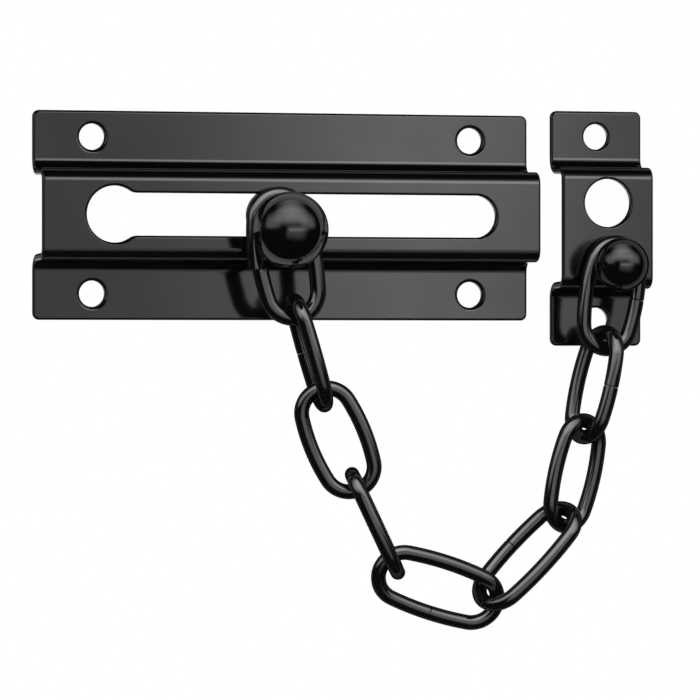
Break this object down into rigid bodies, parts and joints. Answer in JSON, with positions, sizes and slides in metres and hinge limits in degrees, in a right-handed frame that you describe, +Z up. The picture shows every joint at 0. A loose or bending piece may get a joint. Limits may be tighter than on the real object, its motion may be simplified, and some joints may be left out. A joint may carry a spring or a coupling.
{
  "type": "door chain guard",
  "caption": "Black steel door chain guard: keyhole track plate with a sliding ball knob, bent-wire link chain, and a keep plate with a ball stud.",
  "frame": {"origin": "centre of the four track screw holes, on the back plane of the plates", "axes": "+X along the track from the keyhole to the keep plate, +Y into the door, +Z up"},
  "size_m": [0.1263, 0.0292, 0.1046],
  "materials": {
    "plate_black": "satin",
    "chain_black": "gloss",
    "ball_black": "gloss"
  },
  "bodies": {
    "plates": {"track_plate": "plate_black", "keep_plate": "plate_black", "anchor_stud": "ball_black"},
    "knob": {"slide_knob": "ball_black"},
    "link_1": {"end_link_knob": "chain_black"},
    "link_2": {"chain_link_2": "chain_black"},
    "link_3": {"chain_link_3": "chain_black"},
    "link_4": {"chain_link_4": "chain_black"},
    "link_5": {"chain_link_5": "chain_black"},
    "link_6": {"chain_link_6": "chain_black"},
    "link_7": {"chain_link_7": "chain_black"},
    "link_8": {"chain_link_8": "chain_black"},
    "link_9": {"end_link_stud": "chain_black"}
  },
  "joints": [
    {"name": "knob_slide", "type": "slide", "parent": "plates", "child": "knob", "axis": [1, 0, 0], "range_m": [-0.03275, 0.04125]},
    {"name": "link_1_swing", "type": "hinge", "parent": "knob", "child": "link_1", "pos_m": [-0.00375, -0.0132, -0.0012], "axis": [0, -1, 0], "range_deg": [-23.13, 18.47]},
    {"name": "link_2_swing", "type": "hinge", "parent": "link_1", "child": "link_2", "pos_m": [-0.00075, -0.01355, -0.01691], "axis": [0, -1, 0], "range_deg": [-4, 4.91]},
    {"name": "link_3_swing", "type": "hinge", "parent": "link_2", "child": "link_3", "pos_m": [0.00541, -0.01244, -0.03755], "axis": [0, -1, 0], "range_deg": [-2.96, 3.59]},
    {"name": "link_4_swing", "type": "hinge", "parent": "link_3", "child": "link_4", "pos_m": [0.01112, -0.01311, -0.05148], "axis": [0, -1, 0], "range_deg": [-1.65, 1.94]},
    {"name": "link_5_swing", "type": "hinge", "parent": "link_4", "child": "link_5", "pos_m": [0.02077, -0.0118, -0.0707], "axis": [0, -1, 0], "range_deg": [-10.6, 13.22]},
    {"name": "link_6_swing", "type": "hinge", "parent": "link_5", "child": "link_6", "pos_m": [0.03828, -0.01265, -0.07662], "axis": [0, -1, 0], "range_deg": [-10.9, 13.6]},
    {"name": "link_7_swing", "type": "hinge", "parent": "link_6", "child": "link_7", "pos_m": [0.05407, -0.01268, -0.06149], "axis": [0, -1, 0], "range_deg": [-5.27, 6.51]},
    {"name": "link_8_swing", "type": "hinge", "parent": "link_7", "child": "link_8", "pos_m": [0.05964, -0.01224, -0.04421], "axis": [0, -1, 0], "range_deg": [-1.65, 1.94]},
    {"name": "link_9_swing", "type": "hinge", "parent": "link_8", "child": "link_9", "pos_m": [0.06399, -0.01077, -0.02319], "axis": [0, -1, 0], "range_deg": [-1.65, 1.94]}
  ],
  "couplings": [
    {"joint": "link_1_swing", "follows": "knob_slide", "rad_per_m": -9.5757},
    {"joint": "link_2_swing", "follows": "knob_slide", "rad_per_m": 1.8659},
    {"joint": "link_3_swing", "follows": "knob_slide", "rad_per_m": 1.3087},
    {"joint": "link_4_swing", "follows": "knob_slide", "rad_per_m": 0.6108},
    {"joint": "link_5_swing", "follows": "knob_slide", "rad_per_m": 5.3821},
    {"joint": "link_6_swing", "follows": "knob_slide", "rad_per_m": 5.5435},
    {"joint": "link_7_swing", "follows": "knob_slide", "rad_per_m": 2.5423},
    {"joint": "link_8_swing", "follows": "knob_slide", "rad_per_m": 0.6109},
    {"joint": "link_9_swing", "follows": "knob_slide", "rad_per_m": 0.6108}
  ]
}
